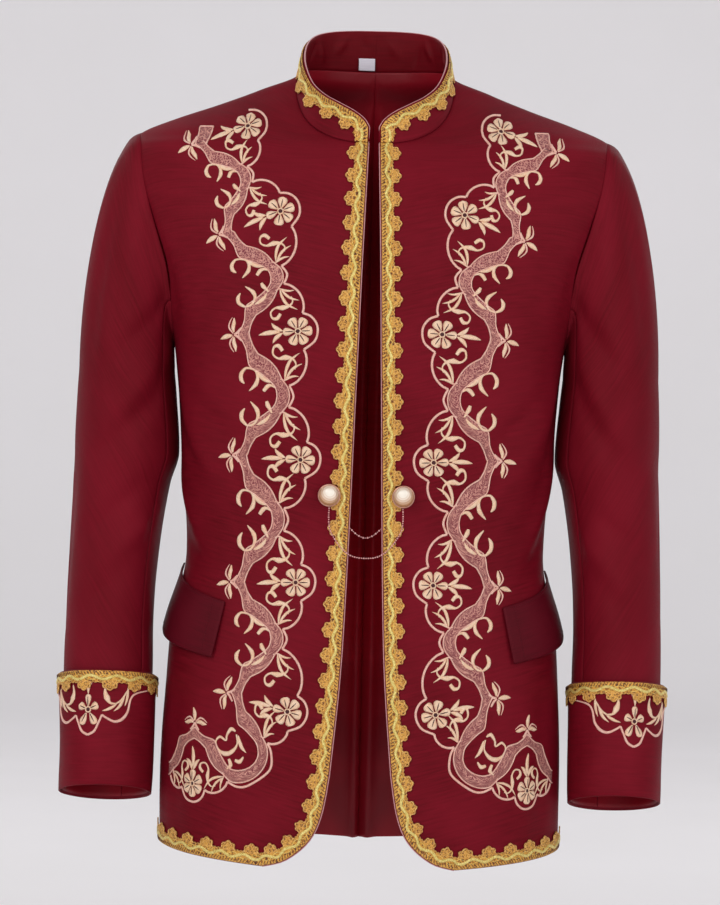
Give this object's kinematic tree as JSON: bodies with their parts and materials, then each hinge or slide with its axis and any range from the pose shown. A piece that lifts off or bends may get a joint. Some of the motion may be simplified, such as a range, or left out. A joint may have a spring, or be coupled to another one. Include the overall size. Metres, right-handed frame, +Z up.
{
  "type": "stand-collar embroidered jacket, worn open with no wearer",
  "caption": "Hollow stand-collar festive jacket in burgundy satin-faced cloth with gold lace edging, embroidered fronts, turned-back cuffs and pearl buttons joined by a chain.",
  "frame": {"origin": "middle of the line between the two points where shoulder seam and collar seam meet, on which the wearer's shoulders hold the jacket", "axes": "+Z up, +Y to the back of the jacket, +X to the wearer's left"},
  "size_m": [0.5938, 0.2548, 0.8129],
  "materials": {
    "cloth": "fine slubbed cloth with a satin sheen, burgundy, machine embroidered",
    "lining": "smooth satin lining, dark burgundy",
    "flap_cloth": "fine slubbed cloth, dark burgundy, edge stitched",
    "lace": "metallic gold braid lace",
    "pearl": "pearlescent",
    "button_rim": "worn gold plate",
    "chain": "rose gold plate",
    "label": "woven satin tape, blank"
  },
  "bodies": {
    "root": {"front_left": "cloth", "front_right": "cloth", "back_left": "cloth", "back_right": "cloth", "lining_back_left": "lining", "lining_back_right": "lining", "sleeve_top_left": "cloth", "sleeve_under_left": "cloth", "sleeve_top_right": "cloth", "sleeve_under_right": "cloth", "cuff_left": "cloth", "cuff_right": "cloth", "cuff_lace_left": "lace", "cuff_lace_right": "lace", "collar": "cloth", "collar_lace": "lace", "front_lace_left": "lace", "front_lace_right": "lace", "pocket_flap_left": "flap_cloth", "pocket_flap_right": "flap_cloth", "button_rim_left": "button_rim", "button_rim_right": "button_rim", "button_pearl_left": "pearl", "button_pearl_right": "pearl", "chain_lower": "chain", "chain_upper": "chain", "label": "label"}
  },
  "joints": []
}
